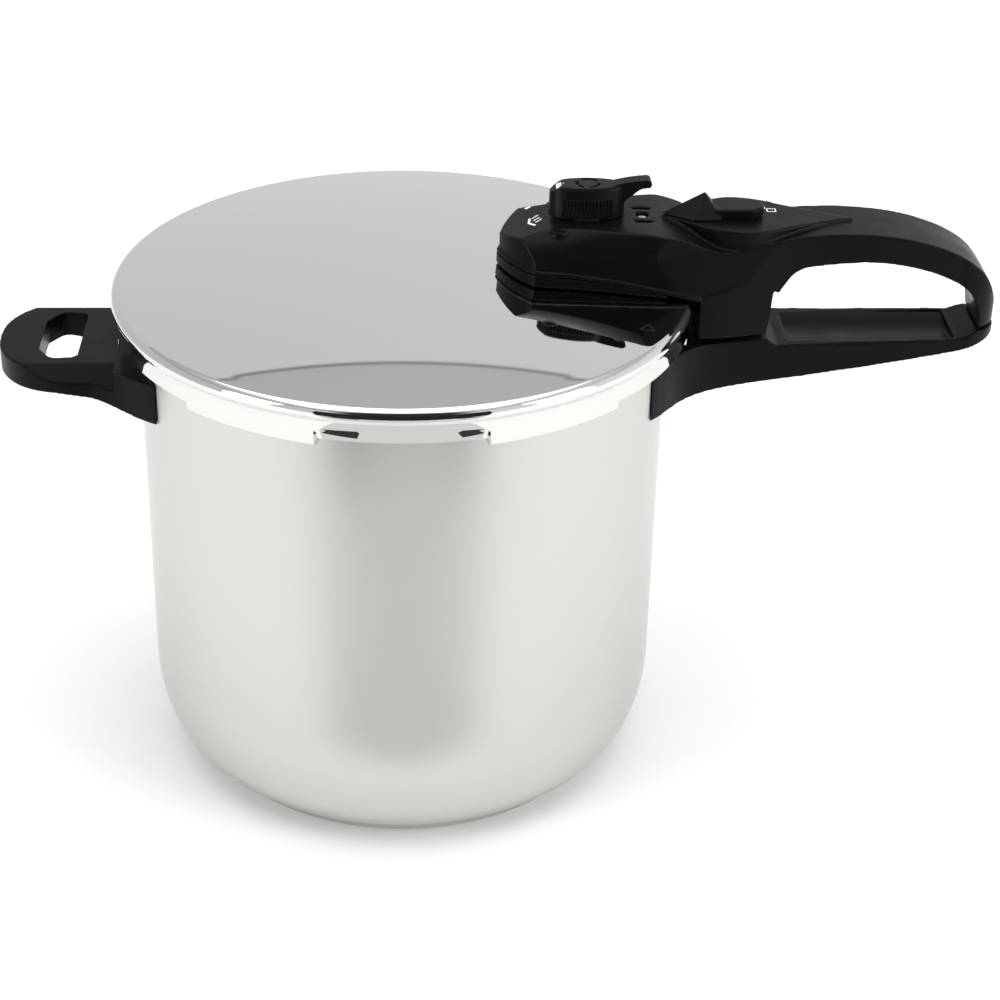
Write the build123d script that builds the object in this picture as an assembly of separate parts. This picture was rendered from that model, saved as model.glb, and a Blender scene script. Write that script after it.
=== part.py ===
from build123d import *
import math
import os

# Stovetop pressure cooker, 24 cm class. Millimetres, +Z up. The origin is on the pot's axis at the
# plane it stands on, and +X runs along the long handles. The lid is closed, so its handle lies
# over the body's, the lid lock is open and the steam selector points at the nose.

# Pot
potRadius = 121.4          # outside of the straight wall
potWall = 1.0
rimTop = 229.0             # top of the rolled rim
cornerWide = 20.0          # bottom corner, an ellipse
cornerTall = 41.0
flangeLow = 221.8          # pressed flange that carries the bayonet lugs
flangeThick = 2.0
flangeRadius = 124.6
lugRadius = 128.5
lugArc = 25.0
bayonets = 6
keeperArc = 2.2            # posts beside the lock bolt's path, degrees wide

# Thermal base
baseRadius = 101.0
baseTall = 6.6
capSheet = 0.8

# Lid
lidSheet = 1.0
crownTop = 247.0
rollTop = 239.4            # where the dome meets the rolled edge
rollAt = 129.0
rollRadius = 4.0
skirtRadius = 131.5
skirtLow = 223.9
tabLow = 220.0
tabArc = 28.0
tabReach = 125.6
tabThick = 1.5

padStep = 0.25             # least height of a pressed pad's edge

# Places along the lid handle
safetyX = 60.0
selectorX = 82.7
indicatorX = 108.0
handleScrewX = 106.0       # screws from inside the lid
housingScrewX = 70.0       # screws that hold the base to the cover
screwSide = 15.0
neckFront = 134.0          # neck of the lock slider
neckBack = 146.0
lidPads = ((safetyX, 9.0, 4.0), (selectorX, 11.0, 5.0), (indicatorX, 8.0, 3.6))   # place, pad radius, hole radius

# Lid handle
deckTop = 270.0
deckThick = 3.0
noseX = 44.0
noseHalf = 24.0
collarFront = 133.5        # inner face of the block that hangs outside the lid's rim
collarLow = 220.0
collarEnd = 163.5
tipX = 271.6
knobHalf = 17.0            # the knob is oval, long along X at rest
knobDeep = 8.9
ribPitch = 1.55
knobTop = 285.0
stemRadius = 9.94
lipRadius = 383.0          # the cover's lower edge is an arc that starts level at lipPeak
lipPeak = (31.3, 252.53)
lipBand = 1.2              # how far the cover's lip and the base stand out
floorGap = 0.8             # between the base and the dome
baseGroove = 0.4           # shadow line between the cover's lip and the base
baseEnd = 118.0            # where the base runs out under the cover
bossRadius = 4.2           # bosses that take the screws
noseCorner = 59.3          # where the round nose meets the straight side

# Body handle and helper handle
rootTop = 217.5
bodyTipTop = 219.0
helperTop = 210.0
helperEnd = -186.0
handleGap = 0.3            # moulding to pot wall

# Moving fits
runningGap = 0.06
clearGap = 0.4
lockTravel = 5.0


def spherical(radius, crown, r):
    """Height of a dome of that radius and crown height at distance r from the axis."""
    return crown - radius + math.sqrt(radius * radius - r * r)


crownRise = crownTop - rollTop
domeRadius = (rollAt ** 2 + crownRise ** 2) / (2 * crownRise)


def turned(points, arc=360.0, start=0.0):
    """Closed outline of (radius, height) points turned about Z, from the angle start."""
    shape = revolve(make_face(Plane.XZ * Polyline(*points, close=True)), Axis.Z, arc)
    return Rot(0, 0, start) * shape


def outlined(*pieces):
    """Face inside lines and arcs that join end to end."""
    return make_face([edge for piece in pieces for edge in piece.edges()])


def mirrored(*pieces):
    return [mirror(piece, Plane.XZ) for piece in pieces]


def sideSlab(points, low, high):
    """Closed (x, z) outline, extruded from y = low to y = high."""
    face = make_face(Plane.XZ * Polyline(*points, close=True))
    return Pos(0, low, 0) * extrude(face, high - low, dir=(0, 1, 0))


def raised(face, low, high):
    """Plan outline, extruded from z = low to z = high."""
    return Pos(0, 0, low) * extrude(face, high - low, dir=(0, 0, 1))


def column(x, y, low, high, radius):
    return Pos(x, y, (low + high) / 2) * Cylinder(radius, high - low)


def block(lowCorner, highCorner):
    middle = [(a + b) / 2 for a, b in zip(lowCorner, highCorner)]
    size = [b - a for a, b in zip(lowCorner, highCorner)]
    return Pos(*middle) * Box(*size)


def at(x, shape):
    return Pos(x, 0, 0) * shape


# ---- Pot ------------------------------------------------------------------------------------

def potShell():
    foot = potRadius - cornerWide
    bend = baseTall + cornerTall
    inside = potRadius - potWall
    bead = potWall / 2
    outline = [
        Line((0, baseTall), (foot, baseTall)),
        EllipticalCenterArc((foot, bend), cornerWide, cornerTall, 270, arc_size=90),
        Line((potRadius, bend), (potRadius, rimTop - bead)),
        ThreePointArc((potRadius, rimTop - bead), (potRadius - bead, rimTop), (inside, rimTop - bead)),
        Line((inside, rimTop - bead), (inside, bend)),
        EllipticalCenterArc((foot, bend), cornerWide - potWall, cornerTall - potWall, 270, arc_size=90),
        Line((foot, baseTall + potWall), (0, baseTall + potWall)),
        Line((0, baseTall + potWall), (0, baseTall)),
    ]
    return revolve(Plane.XZ * outlined(*outline), Axis.Z)


def ringArc(inner, outer, low, high, arc, middle):
    points = [(inner, low), (outer, low), (outer, high), (inner, high)]
    return turned(points, arc, middle - arc / 2)


def potBody():
    top = flangeLow + flangeThick
    pot = potShell() + turned([(potRadius - 0.5, flangeLow), (flangeRadius, flangeLow),
                               (flangeRadius, top), (potRadius - 0.5, top)])
    for i in range(bayonets):
        lug = ringArc(flangeRadius - 1, lugRadius, flangeLow, top, lugArc, i * 360 / bayonets)
        pot += lug
    for side in (-1, 1):
        pot += ringArc(flangeRadius - 0.4, lugRadius + 0.1, flangeLow + 0.5, 228.0, keeperArc, side * 3.8)
    return pot


def baseCap():
    outer = baseRadius
    inner = baseRadius - capSheet
    lip = 1.2
    return turned([(0, 0), (outer - lip, 0), (outer, lip), (outer, baseTall), (inner, baseTall),
                   (inner, capSheet), (0, capSheet)])


def baseCore():
    return column(0, 0, capSheet, baseTall, baseRadius - capSheet - 0.05)


# ---- Pot handles ----------------------------------------------------------------------------

def handlePlan():
    """Plan of the body handle: a saddle that hugs the wall, then a tapering grip."""
    nearWall = [(100, 0), (100, 54), (110.5, 51), (118, 43), (127, 33), (138, 26.5), (150, 23.5)]
    grip = [(165, 21.5), (190, 19.5), (225, 18.5), (255, 17.0)]
    run = Spline(*nearWall[2:], *grip)
    end = ThreePointArc((255, 17.0), (tipX - 4.2, 11.5), (tipX, 0))
    back = Polyline((110.5, 51), (100, 54), (100, -54), (110.5, -51))
    return outlined(back, run, end, *mirrored(run, end))


def bodyHandle():
    side = [(100, rootTop), (166, rootTop), (170.5, 214.3), (254, 215.8), (262, bodyTipTop),
            (280, bodyTipTop), (280, 216.5), (269.5, 214.2), (255, 210), (237, 206.9), (210, 202.3),
            (183, 198.4), (155, 195.6), (119.6, 191.5), (100, 190)]
    shape = sideSlab(side, -60, 60) & raised(handlePlan(), 180, 240)
    trough = Pos(214, 0, 214 + 42) * (Rot(0, 90, 0) * Cylinder(44, 76))
    shape -= trough & block((176, -15.5, 205), (252, 15.5, 230))
    shape = max(shape.solids(), key=lambda s: s.volume)
    shape -= column(0, 0, 180, 230, potRadius + handleGap)
    return shape


def bracketArm(reach, low, tall, half, padArc, padLow, padHigh):
    """Welded pad with an arm that stands out from the wall along +X."""
    inner = potRadius
    pad = ringArc(inner, inner + 1.8, padLow, padHigh, padArc, 0)
    arm = block((inner + 0.6, -half, low), (reach, half, low + tall))
    return pad + arm


def bodyHandleBracket():
    bracket = bracketArm(168, 204, 3, 8, 14, 197, 213)
    return bracket - column(156, 0, 200, 210, 2.6)


def helperBracket():
    bracket = bracketArm(144, 201, 3, 8, 14, 195, 207)
    return Rot(0, 0, 180) * (bracket - column(136, 0, 198, 208, 2.6))


def pocketFor(reach, low, tall, half, padArc, padLow, padHigh):
    """Space in a moulding for a welded bracket, with moulding clearance."""
    gap = 0.2
    pad = ringArc(potRadius, potRadius + 1.8 + gap, padLow - gap, padHigh + gap, padArc + 0.4, 0)
    return pad + block((potRadius, -half - gap, low - gap), (reach + gap, half + gap, low + tall + gap))


def panScrew(x, headLow, headTop, tip, shank=2.4, head=4.4):
    """Screw driven from below: a domed head with a cross recess, then the shank."""
    screw = column(x, 0, headLow, headTop, head) + column(x, 0, headTop - 0.01, tip, shank)
    screw = chamfer(screw.edges().group_by(Axis.Z)[0], 0.7)
    recess = Pos(x, 0, headLow + 0.6) * Box(4.6, 1.0, 1.4)
    return screw - recess - (Pos(x, 0, headLow + 0.6) * Box(1.0, 4.6, 1.4))


def finishedBodyHandle():
    shape = bodyHandle()
    shape -= pocketFor(168, 204, 3, 8, 14, 197, 213)
    shape -= column(156, 0, 190, 199.5, 4.8)
    shape -= column(156, 0, 190, 212, 2.7)
    return shape


def helperPlan():
    run = Spline((-185.6, 6), (-181.5, 20), (-171, 31.5), (-156, 36.5), (-140, 37), (-128, 41), (-117, 48.5),
                 (-107.5, 54.5))
    nose = ThreePointArc((-185.6, -6), (helperEnd, 0), (-185.6, 6))
    lower = mirror(run, Plane.XZ)
    root = Polyline((-107.5, 54.5), (-96, 58), (-96, -58), (-107.5, -54.5))
    return outlined(run, nose, lower, root)


def fingerSlot(low, high):
    """Slot through the helper handle, narrower at its outer end."""
    outline = Polyline((-148, -23), (-160, -24), (-166.5, -14), (-166.5, 14), (-160, 24), (-148, 23), close=True)
    slot = raised(make_face(outline), low, high)
    return fillet(slot.edges().filter_by(Axis.Z), 4)


def helperHandle():
    outline = [(-190, helperTop), (-95, helperTop), (-95, 190.6), (-119, 190.6), (-127, 191.8), (-140, 195.6),
            (-156, 198.0), (-190, 198.4)]
    shape = sideSlab(outline, -60, 60) & raised(helperPlan(), 180, 240)
    for side in (-1, 1):
        bevel = Polyline((side * 28.5, helperTop + 1), (side * 44, helperTop + 1), (side * 44, 196.0), close=True)
        prism = extrude(make_face(Plane.YZ * bevel), 86, dir=(1, 0, 0))
        shape -= at(-216, prism)
    shape -= fingerSlot(185, 215)
    shape -= column(0, 0, 180, 230, potRadius + handleGap)
    shape -= Rot(0, 0, 180) * pocketFor(144, 201, 3, 8, 14, 195, 207)
    shape -= column(-136, 0, 188, 197.8, 4.8)
    shape -= column(-136, 0, 188, 207.5, 2.7)
    return shape


# ---- Lid ------------------------------------------------------------------------------------

def lidProfile():
    inner = domeRadius - lidSheet
    half = rollAt / 2
    edge = rollAt + rollRadius
    arcLow = rollTop - rollRadius
    slant = rollRadius * math.sqrt(0.5)
    innerTop = spherical(inner, crownTop - lidSheet, rollAt)
    small = rollRadius - lidSheet
    fall = small * math.sqrt(0.5)
    return Plane.XZ * outlined(
        ThreePointArc((0, crownTop), (half, spherical(domeRadius, crownTop, half)), (rollAt, rollTop)),
        ThreePointArc((rollAt, rollTop), (rollAt + slant, arcLow + slant), (edge, arcLow)),
        Polyline((edge, arcLow), (edge, 234.3), (skirtRadius, 232.4), (skirtRadius, skirtLow),
                 (skirtRadius - lidSheet, skirtLow), (skirtRadius - lidSheet, 232.0), (edge - lidSheet, 233.9),
                 (edge - lidSheet, innerTop - small)),
        ThreePointArc((edge - lidSheet, innerTop - small), (rollAt + fall, innerTop - small + fall),
                      (rollAt, innerTop)),
        ThreePointArc((rollAt, innerTop), (half, spherical(inner, crownTop - lidSheet, half)),
                      (0, crownTop - lidSheet)),
        Line((0, crownTop - lidSheet), (0, crownTop)),
    )


def bayonetTab(middle):
    """Tab that hangs from the skirt and turns in under the pot's lug."""
    bend = 1.2
    points = [(skirtRadius - lidSheet, skirtLow + 0.5), (skirtRadius - lidSheet, tabLow + tabThick),
              (tabReach, tabLow + tabThick), (tabReach, tabLow), (skirtRadius - bend, tabLow),
              (skirtRadius, tabLow + bend), (skirtRadius, skirtLow + 0.5)]
    return turned(points, tabArc, middle - tabArc / 2)


def lidUnder(r):
    return spherical(domeRadius - lidSheet, crownTop - lidSheet, r)


def padLow(x, pad):
    """Lower face of a flat pad of that radius, pressed in the dome at x."""
    return lidUnder(x + pad) - padStep


def padTop(x, pad):
    return spherical(domeRadius, crownTop, x - pad) + padStep


def lidShell():
    lid = Rot(0, 0, 31) * revolve(lidProfile(), Axis.Z)
    for i in range(bayonets):
        lid += bayonetTab(i * 360 / bayonets)
    for x, pad, hole in lidPads:
        lid += column(x, 0, padLow(x, pad), padTop(x, pad), pad)
        lid -= column(x, 0, 225, 260, hole)
    for y in (-screwSide, screwSide):
        lid -= column(handleScrewX, y, 230, 260, 2.3)
    lid -= block((skirtRadius - 3, -5.8, 224.4), (skirtRadius + 3, 5.8, 228.9))
    return lid


def lidGasket():
    """Silicone lip seal that lies in the lid's edge over the pot's rim."""
    return turned([(114.5, 230.0), (116.0, 229.5), (129.6, 229.5), (129.6, 231.4), (130.4, 233.0), (130.4, 235.6),
                   (128.6, 237.7), (122, 238.2), (118, 238.2), (116.4, 236.8), (118.5, 235.6), (124.5, 235.6),
                   (126.2, 234.2), (126.2, 232.6), (124.5, 231.6), (116.0, 231.6)])


# ---- Lid handle -----------------------------------------------------------------------------

def coverLine(x):
    """Height of the cover's lower edge."""
    return lipPeak[1] - lipRadius + math.sqrt(lipRadius ** 2 - (x - lipPeak[0]) ** 2)


def lipArc(start, end, lift=0.0):
    """The cover's lower edge as an arc in the XZ plane, from one x to another."""
    return ThreePointArc(*[(x, coverLine(x) + lift) for x in (start, (start + end) / 2, end)])


def coverPlan(shrink=0.0, end=tipX):
    """Plan of the lid handle: a round nose, a wide housing, then a narrower grip."""
    wide = noseHalf - shrink
    corner = (noseCorner + 0.4 * shrink, wide + 0.7)
    upper = [corner, (78, wide + 1.1), (98, wide + 1.7), (118, wide + 2.6), (133, wide + 2.0), (150, wide - 0.2),
             (168, wide - 4.4), (188, wide - 6.4), (222, wide - 7.2), (252, wide - 8.2)]
    first = ThreePointArc((noseX + shrink, 0), (50.3 + 0.8 * shrink, 14.6 - 0.65 * shrink), corner)
    run = Spline(*upper, tangents=((1, 0.03), (1, -0.06)))
    last = ThreePointArc((252, wide - 8.2), (end - 5.5, 0.72 * (wide - 8.2)), (end - shrink, 0))
    return outlined(first, run, last, *mirrored(first, run, last))


def coverSide():
    """Side outline of the lid handle, with the valley beside the lock and the hand hole."""
    return Plane.XZ * outlined(
        Line((40, coverLine(40)), (40, 258.6)),
        Spline((40, 258.6), (45, 262), (51.5, 265.2), (58, 267.2), (68, 269.2), (84, deckTop), (105, deckTop),
               tangents=((1, 0.9), (1, 0))),
        Spline((105, deckTop), (127, 266.6), (143, 261), tangents=((1, 0), (1, -0.12))),
        Spline((143, 261), (158, 263.2), (181, 266.8), (200, 267.3), (220, 265.6), (240, 260.6), (254, 254),
               (263, 246), (269.6, 233), (272.4, 219.6), tangents=((1, -0.02), (0.05, -1))),
        Polyline((272.4, 219.6), (262.5, 219.6), (261.5, 227)),
        Spline((261.5, 227), (256.5, 238), (246, 245.2), (230, 250.8), (206, 253.6), (186, 252.2), (174, 247),
               (168.4, 240), (166.2, 230), tangents=((-0.2, 1), (-0.05, -1))),
        Polyline((166.2, 230), (collarEnd + 1.5, collarLow), (collarFront, collarLow),
                 (collarFront, coverLine(collarFront))),
        lipArc(collarFront, 40))


def shoulder(inset=0.0):
    """Room inside the housing's rounded shoulders, which sharpen from the nose to the lock."""
    sections = ((38, (4, 268.5), (20, 262.5), (25.5, 250)), (112, (23, 274), (26.2, 264), (27.6, 248)),
                (170, (38, 285), (40, 270), (41, 248)))
    faces = []
    for x, top, bulge, side in sections:
        a, b, c = [(y - inset, z - inset) for y, z in (top, bulge, side)]
        right = ThreePointArc(a, b, c)
        left = ThreePointArc((-c[0], c[1]), (-b[0], b[1]), (-a[0], a[1]))
        low = Polyline(c, (c[0], 200), (-c[0], 200), (-c[0], c[1]))
        faces.append(Pos(x, 0, 0) * (Plane.YZ * outlined(right, low, left, Line((-a[0], a[1]), a))))
    return loft(faces, ruled=True)


def flankCut(side):
    """Wedge that leans the flank behind the lock inwards, above a crease over the collar."""
    lean = Polyline((side * 30.0, 232.0), (side * 27.6, 256.0), (side * 27.6, 280), (side * 45, 280),
                    (side * 45, 232.0), close=True)
    run = Vector(63, -side * 9.14, 17.8)
    return Pos(105, 0, 0) * extrude(make_face(Plane.YZ * lean), run.length, dir=run)


def lockIsland():
    """Raised almond that carries the lock slider."""
    left = 117.0
    right = 203.0
    peak = 21.0
    upper = Spline((left, 0), (133, 13.0), (151, peak), (176, 12.0), (right, 0), tangents=((1, 0.75), (1, -0.5)))
    plan = raised(outlined(upper, *mirrored(upper)), 230, 290)
    side = [(left - 4, 258), (left - 4, 270.2), (145, 270.2), (right + 2, 268.4), (right + 2, 258)]
    return sideSlab(side, -40, 40) & plan


def coverShape():
    side = Pos(0, -40, 0) * extrude(coverSide(), 80, dir=(0, 1, 0))
    shape = side & raised(coverPlan(), 200, 300)
    shape = (shape & shoulder()) + (shape & block((169, -40, 200), (300, 40, 300)))
    return shape - flankCut(1) - flankCut(-1)


def coverCavity():
    """Hollow under the deck, the lock's channel and its way down through the collar."""
    under = deckTop - deckThick
    main = [(40, coverLine(40) - 6), (40, 256.6), (50, 261.4), (62, 265), (84, under), (121, under),
            (121, coverLine(121) - 6)]
    room = sideSlab(main, -40, 40) & raised(coverPlan(2.8), 200, 300) & shoulder(2.6)
    room += column(selectorX, 0, 260, under, 13)
    half = 8.2
    room += block((119, -half, 256), (157.5, half, 262.4))
    room += block((143, -half, 224.4), (157.5, half, 258))
    return room + block((131, -half, 224.4), (157.5, half, 229.2))


def handleCover():
    shape = coverShape() + lockIsland()
    last = collarFront - 0.5
    rise = 1.6
    band = Plane.XZ * outlined(lipArc(40, last), Line((last, coverLine(last)), (last, coverLine(last) + rise)),
                               lipArc(last, 40, rise), Line((40, coverLine(40) + rise), (40, coverLine(40))))
    lip = Pos(0, -40, 0) * extrude(band, 80, dir=(0, 1, 0))
    shape += lip & raised(coverPlan(-lipBand), 200, 300)
    shape -= coverCavity()
    for y in (-screwSide, screwSide):
        shape += column(housingScrewX, y, coverLine(housingScrewX) + 1, deckTop - 1, bossRadius)
        shape -= column(housingScrewX, y, 245, 262, 1.5)
        shape += column(handleScrewX, y, 242.6, deckTop - 2, bossRadius)
        shape -= column(handleScrewX, y, 240, 256, 1.9)
    shape -= column(selectorX, 0, 260, 275, stemRadius + runningGap)
    shape -= column(indicatorX, 0, 260, 275, 2.9)
    for y in (-7.6, 7.6):
        shape -= Pos(indicatorX, y, 0) * raised(SlotOverall(8.6, 2.4), 262, 275)
    shape -= block((neckFront - lockTravel - clearGap, -4.4, 255), (neckBack + clearGap, 4.4, 275))
    return max(shape.solids(), key=lambda s: s.volume)


def handleBase():
    """Floor of the housing, between the lid and the cover's lower edge."""
    end = baseEnd
    shape = Part()
    for shrink, drop in ((1.6, 0.0), (-lipBand, baseGroove)):
        side = Plane.XZ * outlined(lipArc(40, end, -drop), Polyline((end, coverLine(end) - drop), (end, 230),
                                                                  (40, 230), (40, coverLine(40) - drop)))
        layer = Pos(0, -40, 0) * extrude(side, 80, dir=(0, 1, 0))
        shape += layer & raised(coverPlan(shrink), 200, 300)
    shape -= Pos(0, 0, crownTop - domeRadius) * Sphere(domeRadius + floorGap)
    shape -= column(selectorX, 0, 230, padTop(selectorX, 11), 11.6)
    shape += column(selectorX, 0, padTop(selectorX, 11), 249.5, 10.8)
    shape -= column(selectorX, 0, 249.5, 260, 11.6)
    shape -= column(selectorX, 0, 230, 260, 5.4)
    shape -= column(safetyX, 0, 230, 262, 8.2)
    shape -= column(safetyX, 0, 230, padTop(safetyX, 9) + floorGap, 9.4)
    shape -= column(indicatorX, 0, 230, 262, 8.4)
    for y in (-screwSide, screwSide):
        shape -= column(handleScrewX, y, 230, 262, bossRadius + clearGap)
        shape -= column(housingScrewX, y, 230, 262, 1.8)
        shape -= column(housingScrewX, y, 230, 248.4, 3.5)
    return max(shape.solids(), key=lambda s: s.volume)


def handleScrews():
    top = lidUnder(math.hypot(handleScrewX + 4.2, screwSide)) - 0.05
    screw = panScrew(handleScrewX, top - 2.2, top, 255.5, 1.9, 4.2)
    return Compound(children=[Pos(0, y, 0) * screw for y in (-screwSide, screwSide)])


def housingScrews():
    screw = panScrew(housingScrewX, 246.7, 248.4, 258, 1.5, 3.2)
    return Compound(children=[Pos(0, y, 0) * screw for y in (-screwSide, screwSide)])


# ---- Valves ---------------------------------------------------------------------------------

def hexagon(across, low, high):
    return raised(RegularPolygon(across / 2, 6, major_radius=False), low, high)


def hexNut(x, across, bore, low, high):
    nut = hexagon(across, low, high) & turned([(0, low), (across / 2, low), (across / 2 + 1.2, low + 1),
                                               (across / 2 + 1.2, high), (0, high)])
    return at(x, nut - column(0, 0, low - 1, high + 1, bore))


def washer(x, inner, outer, low, high):
    return at(x, turned([(inner, low), (outer, low), (outer, high), (inner, high)]))


def coil(x, radius, wire, low, high, turns):
    """Compression spring; low and high are the ends of its wire."""
    tall = high - low - wire
    path = Helix(pitch=tall / turns, height=tall, radius=radius)
    section = Plane(origin=path @ 0, z_dir=path % 0) * Circle(wire / 2)
    return Pos(x, 0, low + wire / 2) * sweep(section, path=path, is_frenet=True)


def valveBody():
    seat = 255.0
    body = turned([(1.5, 235.0), (4.9, 235.0), (4.9, 249.5), (8.0, 249.5), (8.0, 261.6), (5.6, 261.6),
                   (5.6, seat), (1.5, seat)])
    flange = hexagon(19, 249.5, 252.6) - column(0, 0, 249, 253, 7.9)
    return at(selectorX, body + flange)


def valveSeal():
    top = padLow(selectorX, 11)
    return washer(selectorX, 4.9, 8.6, top - 1.5, top)


def valveNut():
    top = padLow(selectorX, 11) - 1.5
    return hexNut(selectorX, 17, 4.9, top - 4.2, top)


def valvePoppet():
    guide = 5.6 - runningGap
    return at(selectorX, turned([(0, 254.0), (1.1, 254.0), (1.1, 255.2), (2.2, 255.3), (guide, 255.3),
                                 (guide, 258.2), (2.0, 258.2), (2.0, 262.6), (0, 262.6)]))


def valveSpring():
    return coil(selectorX, 4.2, 1.0, 258.3, 269.2, 5)


def knobLayer(low, high, wideLow, deepLow, wideHigh, deepHigh):
    """Oval layer of the knob, drafted from its lower outline to its upper one."""
    return loft([Pos(0, 0, low) * Ellipse(wideLow, deepLow), Pos(0, 0, high) * Ellipse(wideHigh, deepHigh)])


def selectorKnob():
    low = 262.4
    foot = deckTop + 0.45
    edge = 283.8
    shape = turned([(6.2, low), (stemRadius, low), (stemRadius, 265.2), (9.0, 265.2), (9.0, 266.5),
                    (stemRadius, 266.5), (stemRadius, foot + 0.6), (0, foot + 0.6), (0, 269.6), (6.2, 269.6)])
    shape += knobLayer(foot, edge, knobHalf, knobDeep, knobHalf - 0.2, knobDeep - 1.3)
    shape += knobLayer(edge, knobTop, knobHalf - 0.2, knobDeep - 1.3, knobHalf - 1.2, knobDeep - 2.2)
    for i in range(-7, 8):
        x = i * ribPitch
        surface = knobDeep * math.sqrt(1 - (x / knobHalf) ** 2)
        for side in (-1, 1):
            rib = Pos(x, side * (surface - 0.5), 275.7) * Box(0.75, 1.4, 8)
            shape += rib
    horn = Spline((91, 284.2), (97, 285.9), (103, 287.0), (109.2, 287.6), tangents=((1, 0.3), (1, 0.05)))
    tip = ThreePointArc((109.2, 287.6), (111.3, 286.0), (110.4, 283.9))
    under = Spline((110.4, 283.9), (106.6, 283.3), (103.2, 280.8), (98.4, 275.6), tangents=((-1, -0.05), (-0.5, -1)))
    root = Polyline((98.4, 275.6), (88, 275.6), (91, 284.2))
    lever = Pos(0, -3.6, 0) * extrude(Plane.XZ * outlined(horn, tip, under, root), 7.2, dir=(0, 1, 0))
    lever = fillet(lever.edges().filter_by(Axis.Y).sort_by(Axis.Z)[-2:], 0.8)
    shape = at(selectorX, shape) + lever
    facet = [(64, 280.6), (64, 290), (75.5, 290), (71.6, knobTop + 0.02)]
    shape -= sideSlab(facet, -20, 20)
    for i in range(3):
        arc = CenterArc((0, 0), 4.9, 40 + 120 * i, 78)
        groove = raised(SlotArc(arc, 1.5), knobTop - 0.8, knobTop + 1)
        shape -= Pos(selectorX + 0.3, 0, 0) * groove
    return shape


def selectorClip():
    return washer(selectorX, 9.0, 12.2, 265.3, 266.4)


def indicatorBush():
    flange = padTop(indicatorX, 8)
    return at(indicatorX, turned([(2.2 + runningGap, 235.5), (3.5, 235.5), (3.5, flange), (6.0, flange),
                                  (6.0, flange + 1.4), (2.2 + runningGap, flange + 1.4)]))


def indicatorWasher():
    top = padLow(indicatorX, 8)
    return washer(indicatorX, 3.5, 6.6, top - 1.0, top)


def indicatorNut():
    top = padLow(indicatorX, 8) - 1.0
    return hexNut(indicatorX, 11, 3.5, top - 2.6, top)


def indicatorPin():
    collar = padTop(indicatorX, 8) + 1.5
    return at(indicatorX, turned([(0, 227.4), (3.6, 227.4), (3.6, 229.2), (2.2, 229.2), (2.2, collar),
                                  (3.5, collar), (3.5, collar + 1.2), (2.2, collar + 1.2), (2.2, 268.2),
                                  (1.7, 268.8), (0, 268.8)]))


def indicatorSeal():
    return washer(indicatorX, 2.2, 3.6, 229.2, 230.8)


def safetyBody():
    seat = padTop(safetyX, 9)
    return at(safetyX, turned([(1.4, 238.0), (3.9, 238.0), (3.9, seat), (7.4, seat), (7.4, seat + 3),
                               (6.2, seat + 3), (6.2, 256.0), (4.2, 256.0), (4.2, 249.2), (1.4, 249.2)]))


def safetySeal():
    top = padLow(safetyX, 9)
    return washer(safetyX, 3.9, 7.4, top - 1.2, top)


def safetyNut():
    top = padLow(safetyX, 9) - 1.2
    return hexNut(safetyX, 13, 3.9, top - 3.2, top)


def safetyBall():
    return Pos(safetyX, 0, 249.2 + math.sqrt(2.5 ** 2 - 1.4 ** 2) + 0.05) * Sphere(2.5)


def safetySpring():
    return coil(safetyX, 2.2, 0.7, 253.9, 257.0, 2.5)


def safetyCap():
    return at(safetyX, turned([(4.2, 256.0), (6.2, 256.0), (6.2, 258.2), (5.6, 258.8), (0.9, 258.8),
                               (0.9, 257.0), (4.2, 257.0)]))


# ---- Lid lock -------------------------------------------------------------------------------

def lockButton():
    """Thumb slide: a faceted arrow with a flat tail, on a neck through the cover."""
    low = 270.6
    outline = Polyline((116.5, 0), (129.5, 9.4), (143, 8.8), (143, -8.8), (129.5, -9.4), close=True)
    arrow = loft([Pos(0, 0, low) * make_face(outline), Vertex(135.6, 0, 280.9)])
    tail = Pos(149, 0, 0) * raised(SlotOverall(27, 13.6), low, 274.8)
    tail = chamfer(tail.edges().group_by(Axis.Z)[-1], 0.7)
    neck = block((neckFront, -4, 261.8), (neckBack, 4, low + 0.5))
    button = arrow + (tail & block((136, -9, 265), (170, 9, 280))) + neck
    return button - column(140, 0, 261, 267, 1.3)


def lockBolt():
    bolt = block((131, -7.4, 258.2), (155.5, 7.4, 261.8)) + block((149.5, -5, 225), (155.5, 5, 261.8))
    bolt += block((132.4, -5, 225), (155.5, 5, 228.6))
    return bolt - column(140, 0, 255, 263, 1.5)


def lockScrew():
    return panScrew(140, 256.5, 258.2, 266.5, 1.3, 2.8)


def bodyHandleScrew():
    return panScrew(156, 196.8, 199.5, 211, 2.6, 4.5)


def helperScrew():
    return Rot(0, 0, 180) * panScrew(136, 195.9, 197.8, 207, 2.6, 4.5)


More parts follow.
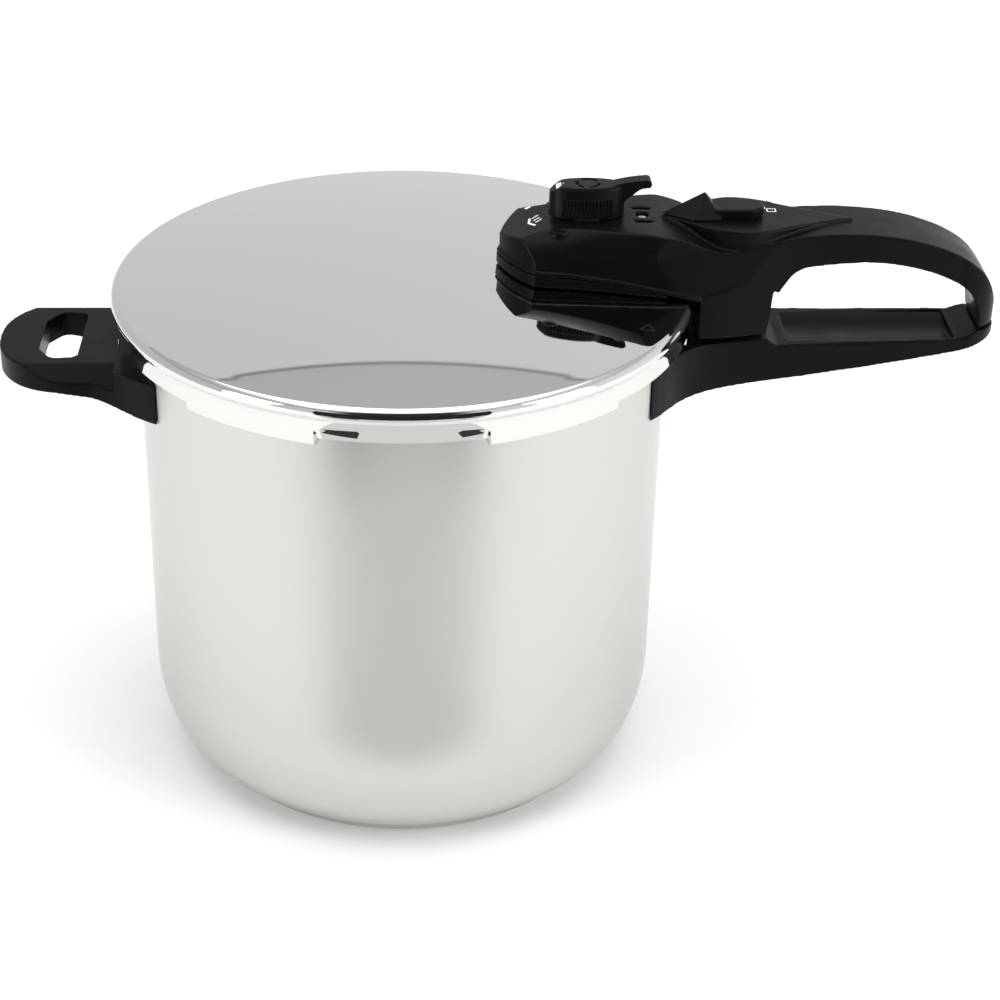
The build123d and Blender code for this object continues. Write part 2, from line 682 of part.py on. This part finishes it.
subParts = {
    "pot_body": potBody,
    "base_cap": baseCap,
    "base_core": baseCore,
    "body_handle": finishedBodyHandle,
    "body_handle_bracket": bodyHandleBracket,
    "body_handle_screw": bodyHandleScrew,
    "helper_handle": helperHandle,
    "helper_handle_bracket": helperBracket,
    "helper_handle_screw": helperScrew,
    "lid_shell": lidShell,
    "lid_gasket": lidGasket,
    "handle_cover": handleCover,
    "handle_base": handleBase,
    "handle_screws": handleScrews,
    "housing_screws": housingScrews,
    "valve_body": valveBody,
    "valve_nut": valveNut,
    "valve_seal": valveSeal,
    "valve_poppet": valvePoppet,
    "valve_spring": valveSpring,
    "selector_knob": selectorKnob,
    "selector_clip": selectorClip,
    "indicator_bush": indicatorBush,
    "indicator_nut": indicatorNut,
    "indicator_washer": indicatorWasher,
    "indicator_pin": indicatorPin,
    "indicator_seal": indicatorSeal,
    "safety_body": safetyBody,
    "safety_nut": safetyNut,
    "safety_seal": safetySeal,
    "safety_ball": safetyBall,
    "safety_spring": safetySpring,
    "safety_cap": safetyCap,
    "lock_button": lockButton,
    "lock_bolt": lockBolt,
    "lock_screw": lockScrew,
}


def main():
    os.makedirs("parts", exist_ok=True)
    for name, build in subParts.items():
        shape = build()
        export_step(shape, f"parts/{name}.step")
        print(f"{name}: {shape.volume:.0f} mm3")


if __name__ == "__main__":
    main()
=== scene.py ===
import bpy
import bmesh
import math
from mathutils import Matrix, Vector
from mathutils.bvhtree import BVHTree


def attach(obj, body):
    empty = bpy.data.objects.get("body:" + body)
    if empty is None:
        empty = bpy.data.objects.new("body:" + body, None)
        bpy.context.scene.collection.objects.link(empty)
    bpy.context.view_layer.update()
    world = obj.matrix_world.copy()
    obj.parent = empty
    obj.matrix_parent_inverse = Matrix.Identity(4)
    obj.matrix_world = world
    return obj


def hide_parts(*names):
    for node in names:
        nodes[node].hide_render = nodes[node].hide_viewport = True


# Stovetop pressure cooker. Metres, +Z up, +X along the long handle, -Y to the front.
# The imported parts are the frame; pieces built here ride on its bodies.

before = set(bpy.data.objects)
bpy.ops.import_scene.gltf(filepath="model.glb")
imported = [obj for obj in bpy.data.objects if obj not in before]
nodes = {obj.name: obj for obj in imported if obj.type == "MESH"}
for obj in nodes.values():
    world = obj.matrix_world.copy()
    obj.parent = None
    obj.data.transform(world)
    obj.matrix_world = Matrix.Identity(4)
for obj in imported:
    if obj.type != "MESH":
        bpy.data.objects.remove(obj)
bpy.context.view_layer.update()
mm = 0.001
axisGap = 0.01    # mm, where a lathed profile meets the axis
print("frame loaded:", len(nodes), "parts")


def linear(hexColour):    # sRGB hex to the linear RGBA that shaders take
    channels = [int(hexColour[i:i + 2], 16) / 255 for i in (1, 3, 5)]
    return (*[c / 12.92 if c <= 0.04045 else ((c + 0.055) / 1.055) ** 2.4 for c in channels], 1.0)


def addNode(tree, kind, inputs=None, stops=(), **settings):
    node = tree.nodes.new(kind)
    for key, value in settings.items():
        setattr(node, key, value)
    for i, (place, shade) in enumerate(stops):
        marks = node.color_ramp.elements
        mark = marks[i] if i < len(marks) else marks.new(place)
        mark.position = place
        mark.color = (shade, shade, shade, 1)
    for socket, value in (inputs or {}).items():
        if isinstance(value, bpy.types.NodeSocket):
            tree.links.new(value, node.inputs[socket])
        else:
            node.inputs[socket].default_value = value
    return node


def newMaterial(name, **sockets):
    material = bpy.data.materials.new(name)
    material.use_nodes = True
    tree = material.node_tree
    shader = tree.nodes["Principled BSDF"]
    for socket, value in sockets.items():
        shader.inputs[socket.replace("_", " ")].default_value = value
    return material, tree, shader


def smoothShade(mesh, angle=35):
    mesh.shade_smooth()
    mesh.set_sharp_from_angle(angle=math.radians(angle))


def newPiece(name, points, faces, material, body):
    mesh = bpy.data.meshes.new(name)
    mesh.from_pydata(points, [], faces)
    mesh.validate()
    piece = bpy.data.objects.new(name, mesh)
    bpy.context.scene.collection.objects.link(piece)
    mesh.materials.append(material)
    smoothShade(mesh)
    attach(piece, body)
    return piece


def weld(piece, distance=0.002):
    work = bmesh.new()
    work.from_mesh(piece.data)
    bmesh.ops.remove_doubles(work, verts=work.verts, dist=distance * mm)
    bmesh.ops.recalc_face_normals(work, faces=work.faces)
    work.to_mesh(piece.data)
    work.free()
    smoothShade(piece.data)


# A closed profile of (radius, height) in mm, which may change with the angle, swept round Z
def lathed(name, profileAt, segments, material, body):
    points = []
    count = len(profileAt(0.0))
    for i in range(segments):
        turn = 2 * math.pi * i / segments
        points += [(r * math.cos(turn) * mm, r * math.sin(turn) * mm, z * mm) for r, z in profileAt(turn)]
    faces = []
    for i in range(segments):
        nextRing = (i + 1) % segments
        for j in range(count):
            k = (j + 1) % count
            faces.append((i * count + j, nextRing * count + j, nextRing * count + k, i * count + k))
    piece = newPiece(name, points, faces, material, body)
    weld(piece)
    return piece


def arc(centre, radius, start, end, steps):    # degrees; radius may be a pair for an ellipse
    wide, tall = radius if isinstance(radius, tuple) else (radius, radius)
    turns = [math.radians(start + (end - start) * i / steps) for i in range(steps + 1)]
    return [(centre[0] + wide * math.cos(t), centre[1] + tall * math.sin(t)) for t in turns]


# A moulding with the small radii of its edges: the part's own shape, remeshed and smoothed
def moulded(name, node, voxel, passes, material, body):
    piece = bpy.data.objects.new(name, nodes[node].data.copy())
    bpy.context.scene.collection.objects.link(piece)
    remesh = piece.modifiers.new("remesh", "REMESH")
    remesh.mode = "VOXEL"
    remesh.voxel_size = voxel * mm
    smooth = piece.modifiers.new("smooth", "SMOOTH")
    smooth.factor = 0.5
    smooth.iterations = passes
    shape = piece.evaluated_get(bpy.context.evaluated_depsgraph_get())
    piece.data = bpy.data.meshes.new_from_object(shape)
    piece.modifiers.clear()
    piece.data.materials.clear()
    piece.data.materials.append(material)
    piece.data.shade_smooth()
    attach(piece, body)
    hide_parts(node)
    return piece


# Pressed 18/10 sheet, mirror polished: a clear reflection with faint haze where it is wiped
def polishedStainless():
    material, tree, shader = newMaterial("polishedStainless", Metallic=1.0, Base_Color=linear("#DEDDDB"))
    place = addNode(tree, "ShaderNodeTexCoord").outputs["Object"]
    haze = addNode(tree, "ShaderNodeTexNoise", {"Vector": place, "Scale": 1 / (40 * mm), "Detail": 3.0})
    shine = addNode(tree, "ShaderNodeValToRGB", {"Fac": haze.outputs["Fac"]}, ((0.35, 0.018), (0.7, 0.034)))
    tree.links.new(shine.outputs["Color"], shader.inputs["Roughness"])
    return material


# Drawn 18/10 sheet, satin ground on a lathe: fine rings that spread each highlight up and down
def satinStainless():
    material, tree, shader = newMaterial("satinStainless", Metallic=1.0, Base_Color=linear("#CECDCA"),
                                         Anisotropic=0.8)
    place = addNode(tree, "ShaderNodeTexCoord").outputs["Object"]
    spacing = 0.6    # grinding rings in mm, drawn coarser than the real ones, which are near 0.1
    rings = addNode(tree, "ShaderNodeMapping", {"Vector": place, "Scale": (0, 0, 1 / (spacing * mm))})
    lines = addNode(tree, "ShaderNodeTexNoise", {"Vector": rings.outputs["Vector"], "Scale": 1.0,
                                                 "Detail": 2.0})
    rough = addNode(tree, "ShaderNodeValToRGB", {"Fac": lines.outputs["Fac"]}, ((0.3, 0.285), (0.7, 0.305)))
    tree.links.new(rough.outputs["Color"], shader.inputs["Roughness"])
    around = addNode(tree, "ShaderNodeTangent", direction_type="RADIAL", axis="Z")
    tree.links.new(around.outputs["Tangent"], shader.inputs["Tangent"])
    return material


# Compression-moulded phenolic: black with a soft satin skin and a fine grain of filler
def phenolic(name, hexColour, low, high):
    material, tree, shader = newMaterial(name, Base_Color=linear(hexColour), IOR=1.5,
                                         Specular_IOR_Level=0.08)
    place = addNode(tree, "ShaderNodeTexCoord").outputs["Object"]
    grain = addNode(tree, "ShaderNodeTexNoise", {"Vector": place, "Scale": 1 / (0.7 * mm), "Detail": 2.0})
    cloud = addNode(tree, "ShaderNodeTexNoise", {"Vector": place, "Scale": 1 / (14 * mm), "Detail": 2.0})
    rough = addNode(tree, "ShaderNodeValToRGB", {"Fac": cloud.outputs["Fac"]}, ((0.3, low), (0.7, high)))
    tree.links.new(rough.outputs["Color"], shader.inputs["Roughness"])
    relief = addNode(tree, "ShaderNodeBump", {"Height": grain.outputs["Fac"], "Strength": 0.12,
                                              "Distance": 0.05 * mm})
    tree.links.new(relief.outputs["Normal"], shader.inputs["Normal"])
    return material


# Turned or pressed small metal parts: the tool marks only change the gloss a little
def plainMetal(name, hexColour, roughness, grainSize):
    material, tree, shader = newMaterial(name, Metallic=1.0, Base_Color=linear(hexColour))
    place = addNode(tree, "ShaderNodeTexCoord").outputs["Object"]
    marks = addNode(tree, "ShaderNodeTexNoise", {"Vector": place, "Scale": 1 / (grainSize * mm)})
    gloss = addNode(tree, "ShaderNodeValToRGB", {"Fac": marks.outputs["Fac"]},
                    ((0.3, roughness * 0.8), (0.7, roughness * 1.25)))
    tree.links.new(gloss.outputs["Color"], shader.inputs["Roughness"])
    return material


# Moulded silicone rubber: matt and a little dusty
def silicone():
    material, tree, shader = newMaterial("siliconeRubber", Roughness=0.62, IOR=1.42)
    place = addNode(tree, "ShaderNodeTexCoord").outputs["Object"]
    dust = addNode(tree, "ShaderNodeTexNoise", {"Vector": place, "Scale": 1 / (6 * mm), "Detail": 3.0})
    tone = addNode(tree, "ShaderNodeValToRGB", {"Fac": dust.outputs["Fac"]}, ((0.3, 0.19), (0.7, 0.24)))
    tree.links.new(tone.outputs["Color"], shader.inputs["Base Color"])
    return material


# Pad-printed ink: a thin matt white skin with slightly uneven cover
def printingInk():
    material, tree, shader = newMaterial("printingInk", Roughness=0.55, IOR=1.5)
    place = addNode(tree, "ShaderNodeTexCoord").outputs["Object"]
    cover = addNode(tree, "ShaderNodeTexNoise", {"Vector": place, "Scale": 1 / (0.8 * mm)})
    tone = addNode(tree, "ShaderNodeValToRGB", {"Fac": cover.outputs["Fac"]}, ((0.3, 0.72), (0.6, 0.86)))
    tree.links.new(tone.outputs["Color"], shader.inputs["Base Color"])
    return material


# Electro-etched steel: dark oxide in a shallow matt line
def etchedSteel():
    material, tree, shader = newMaterial("etchedSteel", Metallic=1.0)
    place = addNode(tree, "ShaderNodeTexCoord").outputs["Object"]
    oxide = addNode(tree, "ShaderNodeTexNoise", {"Vector": place, "Scale": 1 / (0.6 * mm)})
    tone = addNode(tree, "ShaderNodeValToRGB", {"Fac": oxide.outputs["Fac"]}, ((0.3, 0.035), (0.7, 0.07)))
    tree.links.new(tone.outputs["Color"], shader.inputs["Base Color"])
    shader.inputs["Roughness"].default_value = 0.5
    return material


polished = polishedStainless()
satin = satinStainless()
handleBlack = phenolic("phenolicBlack", "#0B0B0B", 0.27, 0.38)
knobBlack = phenolic("phenolicKnob", "#0D0D0D", 0.24, 0.33)
sliderBlack = phenolic("nylonBlack", "#0E0E0F", 0.30, 0.40)
pressedSteel = plainMetal("pressedStainless", "#B9B8B5", 0.30, 3)
wireSteel = plainMetal("springSteel", "#A9A9A8", 0.22, 1)
turnedSteel = plainMetal("turnedStainless", "#C4C3C0", 0.18, 1)
brass = plainMetal("turnedBrass", "#C6A765", 0.24, 1.5)
aluminium = plainMetal("sheetAluminium", "#C9CACB", 0.35, 4)
rubber = silicone()
ink = printingInk()
etch = etchedSteel()

finishes = {
    "base_cap": satin, "base_core": aluminium, "lid_gasket": rubber, "body_handle_bracket": pressedSteel,
    "helper_handle_bracket": pressedSteel, "body_handle_screw": pressedSteel,
    "helper_handle_screw": pressedSteel, "handle_screws": pressedSteel, "housing_screws": pressedSteel,
    "valve_body": brass, "valve_nut": brass, "valve_seal": rubber, "valve_poppet": turnedSteel,
    "valve_spring": wireSteel, "selector_clip": wireSteel, "indicator_bush": brass,
    "indicator_nut": brass, "indicator_washer": rubber, "indicator_pin": turnedSteel,
    "indicator_seal": rubber, "safety_body": brass, "safety_nut": brass, "safety_seal": rubber,
    "safety_ball": turnedSteel, "safety_spring": wireSteel, "safety_cap": brass,
    "lock_bolt": pressedSteel, "lock_screw": pressedSteel, "pot_body": satin, "lid_shell": polished,
    "handle_cover": handleBlack, "handle_base": handleBlack, "body_handle": handleBlack,
    "helper_handle": handleBlack, "selector_knob": knobBlack, "lock_button": sliderBlack,
}
for name, material in finishes.items():
    nodes[name].data.materials.clear()
    nodes[name].data.materials.append(material)
    smoothShade(nodes[name].data, 30)
print("materials set")


potSize = {"radius": 121.4, "wall": 1.0, "foot": 6.6, "cornerWide": 20.0, "cornerTall": 41.0, "rim": 229.0,
           "flangeLow": 221.8, "flangeTop": 223.8, "flangeOut": 124.6, "lugOut": 128.5, "lugHalf": 12.5,
           "lugSpacing": 60, "floorMiddle": 60, "wallLow": 100, "wallHigh": 160, "bead": 0.5}


def near(turn, spacing, half, blendOver):    # 1 inside each of the spaced sectors, 0 outside
    offset = abs((math.degrees(turn) + spacing / 2) % spacing - spacing / 2)
    return min(1.0, max(0.0, (half + blendOver - offset) / blendOver))


def potProfile(turn):
    s = potSize
    foot, bend, inside = s["radius"] - s["cornerWide"], s["foot"] + s["cornerTall"], s["radius"] - s["wall"]
    flange = s["flangeOut"] + (s["lugOut"] - s["flangeOut"]) * near(turn, s["lugSpacing"], s["lugHalf"], 0.4)
    bead, floorMiddle = s["bead"], s["floorMiddle"]
    outer = [(axisGap, s["foot"]), (floorMiddle, s["foot"])]
    outer += arc((foot, bend), (s["cornerWide"], s["cornerTall"]), -90, 0, 28)
    outer += [(s["radius"], z) for z in (s["wallLow"], s["wallHigh"], s["flangeLow"] - 0.6)]
    outer += arc((flange - bead, s["flangeLow"] + bead), bead, -90, 0, 3)
    outer += arc((flange - bead, s["flangeTop"] - bead), bead, 0, 90, 3)
    outer += [(s["radius"] + 0.2, s["flangeTop"]), (s["radius"], s["flangeTop"] + 0.4)]
    outer += arc((s["radius"] - bead, s["rim"] - bead), bead, 0, 180, 6)
    outer += [(inside, s["wallHigh"]), (inside, s["wallLow"])]
    outer += arc((foot, bend), (s["cornerWide"] - s["wall"], s["cornerTall"] - s["wall"]), 0, -90, 28)
    return outer + [(floorMiddle, s["foot"] + s["wall"]), (axisGap, s["foot"] + s["wall"])]


potShell = lathed("potShell", potProfile, 720, satin, "pot")
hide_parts("pot_body")

# Two small posts on the flange, one each side of the lock bolt
keepers = {"low": 222.3, "top": 228.0, "inner": 124.2, "outer": 128.6, "angle": 3.8, "half": 1.1}


def keeperPosts():
    points, faces = [], []
    k = keepers
    for middle in (-k["angle"], k["angle"]):
        base = len(points)
        for turn, r in ((-1, k["inner"]), (-1, k["outer"]), (1, k["outer"]), (1, k["inner"])):
            way = math.radians(middle + turn * k["half"])
            points += [(r * math.cos(way) * mm, r * math.sin(way) * mm, z * mm) for z in (k["low"], k["top"])]
        faces += [(base, base + 6, base + 4, base + 2), (base + 1, base + 3, base + 5, base + 7)]
        faces += [(base + 2 * i, base + 2 * ((i + 1) % 4), base + 2 * ((i + 1) % 4) + 1, base + 2 * i + 1)
                  for i in range(4)]
    return newPiece("keeperPosts", points, faces, satin, "pot")


keeperPosts()
print("pot built")


lidSize = {"crown": 247.0, "rollTop": 239.4, "rollAt": 129.0, "roll": 4.0, "skirt": 131.5, "sheet": 1.0,
           "notchLow": 223.9, "tabLow": 220.0, "tabIn": 125.6, "tabThick": 1.5, "tabHalf": 14.0,
           "tabSpacing": 60, "stepTop": 234.6, "stepLow": 232.0, "bendTop": 228, "domeSteps": 40}


def domeHeight(r, sheet=0.0):
    rise = lidSize["crown"] - lidSize["rollTop"]
    radius = (lidSize["rollAt"] ** 2 + rise ** 2) / (2 * rise)
    return lidSize["crown"] - radius + math.sqrt((radius - sheet) ** 2 - r * r)


def lidProfile(turn):
    s = lidSize
    edge, low = s["rollAt"] + s["roll"], s["rollTop"] - s["roll"]
    inSkirt = s["skirt"] - s["sheet"]
    tab = near(turn, s["tabSpacing"], s["tabHalf"], 0.35)
    bottom = s["notchLow"] + (s["tabLow"] - s["notchLow"]) * tab
    reach = inSkirt + (s["tabIn"] - inSkirt) * tab
    bend = 0.3 + 0.9 * tab
    reaches = [s["rollAt"] * i / s["domeSteps"] for i in range(s["domeSteps"])]
    outer = [(axisGap + r, domeHeight(r)) for r in reaches]
    outer += arc((s["rollAt"], low), s["roll"], 86, 0, 14)
    outer += [(edge, s["stepTop"]), (edge - 0.25, s["stepTop"] - 0.55)]
    outer += [(s["skirt"] + 0.35, s["stepLow"] + 0.6), (s["skirt"], s["stepLow"]), (s["skirt"], s["bendTop"])]
    outer += arc((s["skirt"] - bend, bottom + bend), bend, 0, -90, 5)
    outer += [(reach, bottom), (reach, bottom + s["tabThick"] * tab + 0.01)]
    outer += [(inSkirt, bottom + s["tabThick"] * tab + 0.02), (inSkirt, s["bendTop"])]
    outer += [(inSkirt, s["stepLow"] - 0.2), (edge - s["sheet"], s["stepTop"] - 0.7)]
    outer += arc((s["rollAt"], low), s["roll"] - s["sheet"], 0, 84, 10)
    return outer + [(axisGap + r, domeHeight(r, s["sheet"])) for r in reversed(reaches)]


lidShell = lathed("lidShell", lidProfile, 1440, polished, "lid")

# Openings in the lid: valves and screws through the dome, the lock bolt's slot in the skirt
lidHoles = {"safety": (60.0, 0.0, 4.0), "selector": (82.7, 0.0, 5.0), "indicator": (108.0, 0.0, 3.6),
            "leftScrew": (106.0, -15.0, 2.3), "rightScrew": (106.0, 15.0, 2.3)}
lockSlot = {"low": (128.5, -5.8, 224.4), "high": (134.5, 5.8, 228.9)}


def cutOpenings(piece):
    work = bmesh.new()
    for x, y, radius in lidHoles.values():
        place = Matrix.Translation((x * mm, y * mm, 243 * mm))
        bmesh.ops.create_cone(work, cap_ends=True, segments=48, radius1=radius * mm, radius2=radius * mm,
                              depth=20 * mm, matrix=place)
    low, high = Vector(lockSlot["low"]) * mm, Vector(lockSlot["high"]) * mm
    box = Matrix.Translation((low + high) / 2) @ Matrix.Diagonal((*(high - low), 1))
    bmesh.ops.create_cube(work, size=1, matrix=box)
    mesh = bpy.data.meshes.new("cutter")
    work.to_mesh(mesh)
    work.free()
    cutter = bpy.data.objects.new("cutter", mesh)
    bpy.context.scene.collection.objects.link(cutter)
    cut = piece.modifiers.new("cut", "BOOLEAN")
    cut.operation = "DIFFERENCE"
    cut.object = cutter
    shape = piece.evaluated_get(bpy.context.evaluated_depsgraph_get())
    piece.data = bpy.data.meshes.new_from_object(shape)
    piece.modifiers.clear()
    bpy.data.objects.remove(cutter)
    smoothShade(piece.data)


cutOpenings(lidShell)
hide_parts("lid_shell")
print("lid built")


mouldings = {    # voxel in mm, passes of smoothing
    "coverMoulding": {"node": "handle_cover", "voxel": 0.55, "passes": 3, "material": handleBlack,
                      "body": "lid"},
    "baseMoulding": {"node": "handle_base", "voxel": 0.4, "passes": 1, "material": handleBlack,
                     "body": "lid"},
    "bodyHandleMoulding": {"node": "body_handle", "voxel": 0.55, "passes": 4, "material": handleBlack,
                           "body": "pot"},
    "helperMoulding": {"node": "helper_handle", "voxel": 0.5, "passes": 4, "material": handleBlack,
                       "body": "pot"},
    "knobMoulding": {"node": "selector_knob", "voxel": 0.22, "passes": 3, "material": knobBlack,
                     "body": "selector"},
    "sliderMoulding": {"node": "lock_button", "voxel": 0.25, "passes": 3, "material": sliderBlack,
                       "body": "lock"},
}
for name, moulding in mouldings.items():
    moulded(name, **moulding)
print("mouldings built")


markSize = {"overlap": 0.6, "pitch": 0.8, "skin": 0.05, "above": 300}    # overlap in half widths, rest in mm


def strokeQuads(line, width, closed):    # flat quads along a line of (x, y) points
    points = [Vector(p) for p in line]
    ends = list(zip(points, points[1:] + points[:1])) if closed else list(zip(points, points[1:]))
    quads = []
    for start, end in ends:
        along = (end - start).normalized() * width / 2
        across = Vector((-along.y, along.x))
        a, b = start - along * markSize["overlap"], end + along * markSize["overlap"]
        steps = max(1, int((b - a).length / markSize["pitch"]))
        for i in range(steps):
            c, d = a.lerp(b, i / steps), a.lerp(b, (i + 1) / steps)
            quads.append((c - across, d - across, d + across, c + across))
    return quads


# Marks laid on a surface: each stroke is dropped along `down` on to the piece that carries it
def laidMark(name, marks, carrier, lay, down, material, body):
    mesh = carrier.data
    tree = BVHTree.FromPolygons([v.co for v in mesh.vertices], [p.vertices for p in mesh.polygons])
    skin = markSize["skin"] * mm
    points, faces = [], []
    for line, width, closed in marks:
        for quad in strokeQuads(line, width, closed):
            lowRing, highRing = [], []
            for corner in quad:
                start = lay(corner.x, corner.y)
                hit, normal, index, distance = tree.ray_cast(start, down)
                foot = hit if hit else start
                lowRing.append(foot - (normal or -down) * skin)
                highRing.append(foot + (normal or -down) * skin)
            base = len(points)
            points += lowRing + highRing
            faces += [(base + 3, base + 2, base + 1, base), (base + 4, base + 5, base + 6, base + 7)]
            faces += [(base + i, base + (i + 1) % 4, base + 4 + (i + 1) % 4, base + 4 + i) for i in range(4)]
    return newPiece(name, [tuple(p) for p in points], faces, material, body)


def overDeck(x, y):
    return Vector((x * mm, y * mm, markSize["above"] * mm))


# Each stroke: its points in mm, its width, and whether it closes
marks = {
    "steamMark": [([(57.4, 1.6), (56.9, -3.2), (59.4, -6.6)], 1.1, False),
                  ([(58.6, 1.4), (61.2, 3.7)], 0.7, False), ([(59.1, -1.4), (61.8, 0.9)], 0.7, False),
                  ([(59.9, -3.9), (62.6, -1.2)], 0.7, False)],
    "pressureMark": [([(56.4, 14.4), (61.0, 16.6)], 1.6, False)],
    "lockMark": [([(165.0, 4.2), (168.8, 4.2), (168.8, 7.6), (165.0, 7.6)], 0.6, True),
                 ([(165.0, 7.0), (163.8, 8.2), (164.4, 9.2)], 0.5, False)],
}
coverPiece = bpy.data.objects["coverMoulding"]
down = Vector((0, 0, -1))
for name, lines in marks.items():
    laidMark(name, lines, coverPiece, overDeck, down, ink, "lid")
pointer = [([(69.4, -2.4), (69.4, 2.4)], 1.2, False), ([(70.4, -1.6), (70.4, 1.6)], 1.2, False),
           ([(71.4, -0.8), (71.4, 0.8)], 1.2, False)]
laidMark("knobPointer", pointer, bpy.data.objects["knobMoulding"], overDeck, down, ink, "selector")
arrowMark = [([(103.4, -57.6), (109.6, -58.8), (107.6, -52.8)], 0.45, True)]
laidMark("lidAlignMark", arrowMark, lidShell, overDeck, down, etch, "lid")
print("marks laid")


softboxes = {
    "topSoftbox": {"place": (0.0, 0.0, 2.4), "size": (2.4, 2.4), "turn": (0, 0, 0), "power": 34},
    "leftSoftbox": {"place": (-1.9, -1.2, 0.9), "size": (0.8, 1.4), "turn": (72, 0, -58), "power": 20},
    "rightSoftbox": {"place": (2.0, -1.1, 0.9), "size": (1.0, 1.6), "turn": (72, 0, 61), "power": 24},
}


def softbox(name, place, size, turn, power):
    lamp = bpy.data.lights.new(name, "AREA")
    lamp.shape = "RECTANGLE"
    lamp.size, lamp.size_y = size
    lamp.energy = power
    box = bpy.data.objects.new(name, lamp)
    box.location = place
    box.rotation_euler = [math.radians(a) for a in turn]
    bpy.context.scene.collection.objects.link(box)


# Flat sheets of the room, in metres: the floor, and flags that only reflections see; the grey sheet on the
# floor in front is the camera's shadow, painted in
sheets = {
    "floor": {"corners": ((-2, -2, 0), (2, -2, 0), (2, 2, 0), (-2, 2, 0)), "colour": "#F8F8F7"},
    # painted shadow: a grey sheet on the floor in front, seen only in reflections, stands for the camera's
    # shadow there
    "cameraShadowSheet": {"corners": ((-0.52, -0.9, 0.002), (0.52, -0.9, 0.002), (0.08, -0.19, 0.002),
                              (-0.08, -0.19, 0.002)), "colour": "#CCCCCA"},
    # two dark spots on the floor in front: flat dark sheets seen only in reflections
    "leftDarkSpot": {"corners": ((-0.26, -0.60, 0.004), (-0.15, -0.60, 0.004), (-0.12, -0.44, 0.004),
                             (-0.23, -0.44, 0.004)), "colour": "#1C1C1C"},
    "rightDarkSpot": {"corners": ((0.19, -0.60, 0.004), (0.26, -0.60, 0.004), (0.23, -0.43, 0.004),
                              (0.16, -0.43, 0.004)), "colour": "#1C1C1C"},
    "standingFlag": {"corners": ((-0.35, -0.62, 0.0), (0.35, -0.62, 0.0), (0.35, -0.62, 0.46),
                                 (-0.35, -0.62, 0.46)), "colour": "#101010"},
}


def roomSheet(name, corners, colour):
    material, tree, shader = newMaterial(name, Base_Color=linear(colour), Roughness=0.9)
    mesh = bpy.data.meshes.new(name)
    mesh.from_pydata(corners, [], [(0, 1, 2, 3)])
    sheet = bpy.data.objects.new(name, mesh)
    mesh.materials.append(material)
    bpy.context.scene.collection.objects.link(sheet)
    sheet.visible_camera = sheet.visible_shadow = sheet.visible_diffuse = name == "floor"


studio = {
    "tones": ((0.0, 0.86), (0.3, 0.80), (0.57, 0.77), (0.5905, 0.77), (0.592, 0.24), (0.594, 0.24),
              (0.5955, 0.58), (0.70, 0.60), (0.85, 0.90)),    # by the height of the direction
    "darkWay": (0.0, -0.82, 0.57), "darkFrom": 0.90, "darkTo": 0.95, "darkTone": 0.05,
    "leftTone": 0.78, "rightTone": 1.15,
}


# A white studio seen only in reflections: walls up to the ceiling's edge, a dark patch round the camera
def studioWorld():
    world = bpy.data.worlds.new("studio")
    bpy.context.scene.world = world
    world.use_nodes = True
    tree = world.node_tree
    direction = addNode(tree, "ShaderNodeTexCoord").outputs["Generated"]
    parts = addNode(tree, "ShaderNodeSeparateXYZ", {"Vector": direction}).outputs
    tone = addNode(tree, "ShaderNodeValToRGB", {"Fac": parts["Z"]}, studio["tones"])
    toCamera = addNode(tree, "ShaderNodeVectorMath", {0: direction, 1: studio["darkWay"]},
                       operation="DOT_PRODUCT").outputs["Value"]
    patch = addNode(tree, "ShaderNodeMapRange", {0: toCamera, 1: studio["darkFrom"], 2: studio["darkTo"],
                                                 3: 1.0, 4: studio["darkTone"]}).outputs[0]
    side = addNode(tree, "ShaderNodeMapRange", {0: parts["X"], 1: -1.0, 2: 1.0, 3: studio["leftTone"],
                                                4: studio["rightTone"]}).outputs[0]
    shaded = addNode(tree, "ShaderNodeMath", {0: tone.outputs["Color"], 1: patch}, operation="MULTIPLY")
    glow = addNode(tree, "ShaderNodeMath", {0: shaded.outputs[0], 1: side}, operation="MULTIPLY")
    seen = addNode(tree, "ShaderNodeLightPath").outputs["Is Camera Ray"]
    plain = addNode(tree, "ShaderNodeMix", {0: seen, 2: glow.outputs[0], 3: 1.0}).outputs[0]
    ground = tree.nodes["Background"]
    tree.links.new(plain, ground.inputs["Color"])
    ground.inputs["Strength"].default_value = 1.0


for name, sheet in sheets.items():
    roomSheet(name, **sheet)
studioWorld()
for name, lamp in softboxes.items():
    softbox(name, **lamp)

cameraSize = {"lens": 81.42, "shift": 0.099, "place": (-0.0006, -0.9464, 0.6672), "pitch": 60.033}
cameraData = bpy.data.cameras.new("camera")
cameraData.lens = cameraSize["lens"]
cameraData.sensor_width = 36.0
cameraData.shift_x = cameraSize["shift"]
camera = bpy.data.objects.new("camera", cameraData)
camera.location = cameraSize["place"]
camera.rotation_euler = (math.radians(cameraSize["pitch"]), 0, 0)
bpy.context.scene.collection.objects.link(camera)
bpy.context.scene.camera = camera
bpy.context.scene.view_settings.view_transform = "Standard"
print("room, light and camera set")
